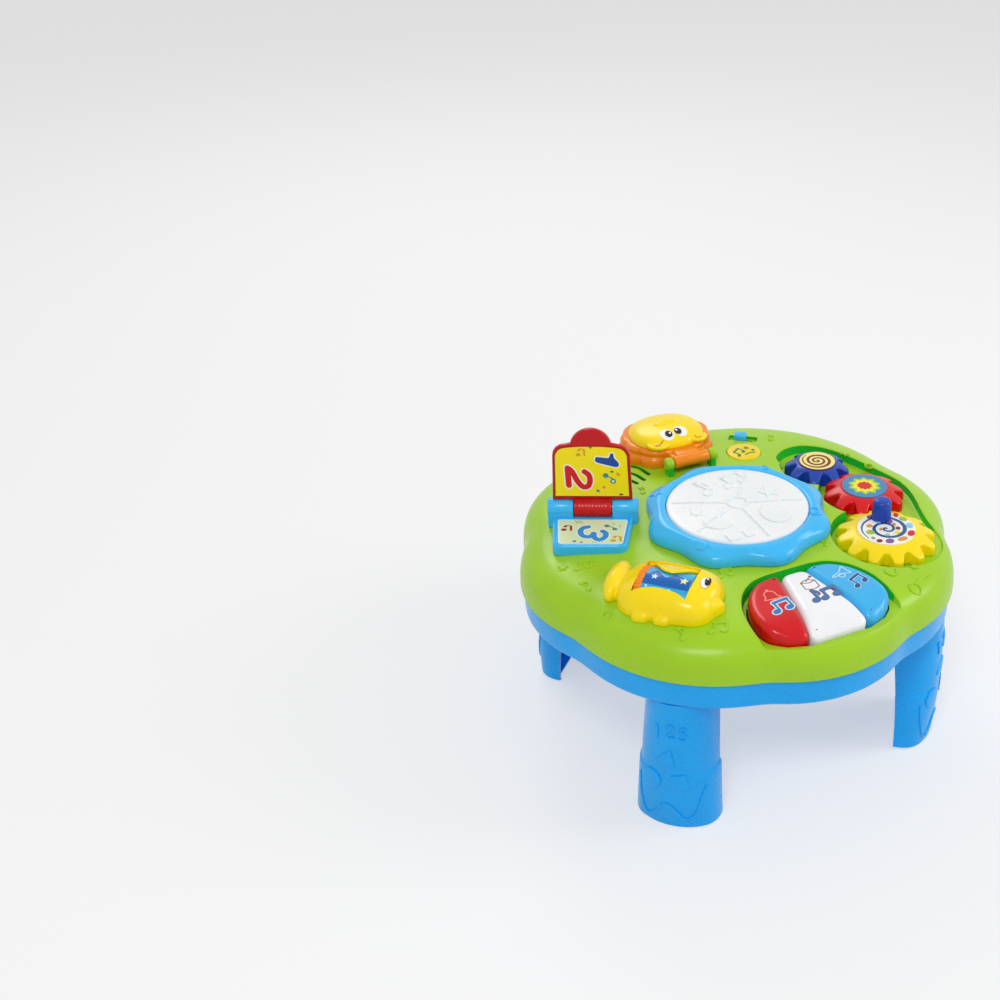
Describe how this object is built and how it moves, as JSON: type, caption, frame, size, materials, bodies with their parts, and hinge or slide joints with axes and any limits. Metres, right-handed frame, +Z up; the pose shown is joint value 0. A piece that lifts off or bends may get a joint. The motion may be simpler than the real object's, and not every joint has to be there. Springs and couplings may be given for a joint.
{
  "type": "musical activity table",
  "caption": "Low round lobed toy table on four half-round legs with a drum, piano keys, meshing gears, a flip book, a fish roller and a lifting lion flap.",
  "frame": {"origin": "on the floor under the middle of the table's overall box", "axes": "+Z up, the piano keys towards -Y, the gears towards +X and the flip book towards -X"},
  "size_m": [0.3088, 0.3094, 0.2268],
  "materials": {
    "leaf_green": "glossy moulded",
    "sky_blue": "glossy moulded",
    "pale_blue": "glossy moulded",
    "toy_red": "glossy moulded",
    "toy_yellow": "glossy moulded",
    "navy_blue": "glossy moulded",
    "orange": "glossy moulded",
    "white": "glossy moulded",
    "milky_white": "smooth translucent",
    "printed_label": "printed film, satin",
    "printed_roller": "printed sleeve, glossy",
    "grey_plastic": "moulded, satin",
    "steel": "bright",
    "contact_steel": "bright",
    "rubber_grey": "matte",
    "board_green": "satin",
    "light_lens": "clear, glossy",
    "black_plastic": "satin",
    "battery_wrap": "satin"
  },
  "bodies": {
    "table": {"lion_hinge_pin": "steel", "book_base": "sky_blue", "book_hinge_pin": "steel", "book_base_label": "printed_label", "fish_body": "toy_yellow", "fish_roller_pin": "steel", "switch_body": "black_plastic", "top_shell": "leaf_green", "base_tray": "sky_blue", "drum_ring": "sky_blue", "drum_return_pad": "rubber_grey", "key_hinge_rod": "steel", "key_return_pad_left": "rubber_grey", "key_return_pad_middle": "rubber_grey", "key_return_pad_right": "rubber_grey", "gear_small_pin": "grey_plastic", "gear_medium_pin": "grey_plastic", "gear_large_pin": "grey_plastic", "badge_disc": "toy_yellow", "speaker": "black_plastic", "main_board": "board_green", "key_board": "board_green", "drum_light_1": "light_lens", "drum_light_2": "light_lens", "drum_light_3": "light_lens", "drum_light_4": "light_lens", "battery_1": "battery_wrap", "battery_2": "battery_wrap", "battery_3": "battery_wrap", "battery_contact_front": "contact_steel", "battery_contact_back": "contact_steel", "battery_door": "sky_blue", "battery_door_screw": "steel", "case_screw_1": "steel", "case_screw_2": "steel", "case_screw_3": "steel", "case_screw_4": "steel", "case_screw_5": "steel", "case_screw_6": "steel"},
    "drum": {"drum_pad": "milky_white"},
    "red_key": {"key_left": "toy_red"},
    "white_key": {"key_middle": "white"},
    "blue_key": {"key_right": "pale_blue"},
    "small_gear": {"gear_small": "navy_blue", "gear_small_label": "printed_label"},
    "medium_gear": {"gear_medium": "toy_red", "gear_medium_label": "printed_label"},
    "large_gear": {"gear_large": "toy_yellow", "gear_large_label": "printed_label", "crank_knob": "navy_blue"},
    "lion_flap": {"lion_mane": "orange", "lion_face": "toy_yellow"},
    "page": {"book_page": "toy_red", "book_page_label": "printed_label"},
    "roller": {"fish_roller": "printed_roller"},
    "switch": {"switch_knob": "pale_blue"},
    "front_left_leg": {"leg_front_left": "sky_blue"},
    "front_right_leg": {"leg_front_right": "sky_blue"},
    "rear_left_leg": {"leg_rear_left": "sky_blue"},
    "rear_right_leg": {"leg_rear_right": "sky_blue"}
  },
  "joints": [
    {"name": "drum_press", "type": "slide", "parent": "table", "child": "drum", "axis": [0, 0, -1], "range_m": [0, 0.002], "stiffness_N_per_m": 800, "springref_m": -0.003, "deforming": ["drum_return_pad"]},
    {"name": "red_key_press", "type": "hinge", "parent": "table", "child": "red_key", "pos_m": [-0.0299, -0.08771, 0.1436], "axis": [1, 0, 0], "range_deg": [0, 3], "stiffness_Nm_per_rad": 0.6, "springref_deg": -3.44, "deforming": ["key_return_pad_left"]},
    {"name": "white_key_press", "type": "hinge", "parent": "table", "child": "white_key", "pos_m": [-0.00165, -0.08771, 0.1436], "axis": [1, 0, 0], "range_deg": [0, 3], "stiffness_Nm_per_rad": 0.6, "springref_deg": -3.44, "deforming": ["key_return_pad_middle"]},
    {"name": "blue_key_press", "type": "hinge", "parent": "table", "child": "blue_key", "pos_m": [0.0266, -0.08771, 0.1436], "axis": [1, 0, 0], "range_deg": [0, 3], "stiffness_Nm_per_rad": 0.6, "springref_deg": -3.44, "deforming": ["key_return_pad_right"]},
    {"name": "large_gear_spin", "type": "hinge", "parent": "table", "child": "large_gear", "pos_m": [0.08122, -0.06565, 0.1473], "axis": [0, 0, 1], "continuous": true},
    {"name": "medium_gear_spin", "type": "hinge", "parent": "table", "child": "medium_gear", "pos_m": [0.09939, -0.0097, 0.1473], "axis": [0, 0, 1], "continuous": true},
    {"name": "small_gear_spin", "type": "hinge", "parent": "table", "child": "small_gear", "pos_m": [0.08775, 0.037, 0.1473], "axis": [0, 0, 1], "continuous": true},
    {"name": "lion_lift", "type": "hinge", "parent": "table", "child": "lion_flap", "pos_m": [0.00035, 0.07229, 0.165], "axis": [1, 0, 0], "range_deg": [0, 110]},
    {"name": "page_turn", "type": "hinge", "parent": "table", "child": "page", "pos_m": [-0.0911, 0.03982, 0.1655], "axis": [0.8942, -0.4478, 0], "range_deg": [-90, 90]},
    {"name": "roller_roll", "type": "hinge", "parent": "table", "child": "roller", "pos_m": [-0.08661, -0.06667, 0.15266], "axis": [0.7022, -0.712, 0], "continuous": true},
    {"name": "switch_slide", "type": "slide", "parent": "table", "child": "switch", "axis": [0.7986, -0.6018, 0], "range_m": [0, 0.007]},
    {"name": "front_left_leg_pull", "type": "slide", "parent": "table", "child": "front_left_leg", "axis": [0, 0, -1], "range_m": [0, 0.011]},
    {"name": "front_right_leg_pull", "type": "slide", "parent": "table", "child": "front_right_leg", "axis": [0, 0, -1], "range_m": [0, 0.011]},
    {"name": "rear_left_leg_pull", "type": "slide", "parent": "table", "child": "rear_left_leg", "axis": [0, 0, -1], "range_m": [0, 0.011]},
    {"name": "rear_right_leg_pull", "type": "slide", "parent": "table", "child": "rear_right_leg", "axis": [0, 0, -1], "range_m": [0, 0.011]}
  ],
  "couplings": [
    {"joint": "medium_gear_spin", "follows": "large_gear_spin", "ratio": -1.2},
    {"joint": "small_gear_spin", "follows": "large_gear_spin", "ratio": 1.5}
  ]
}
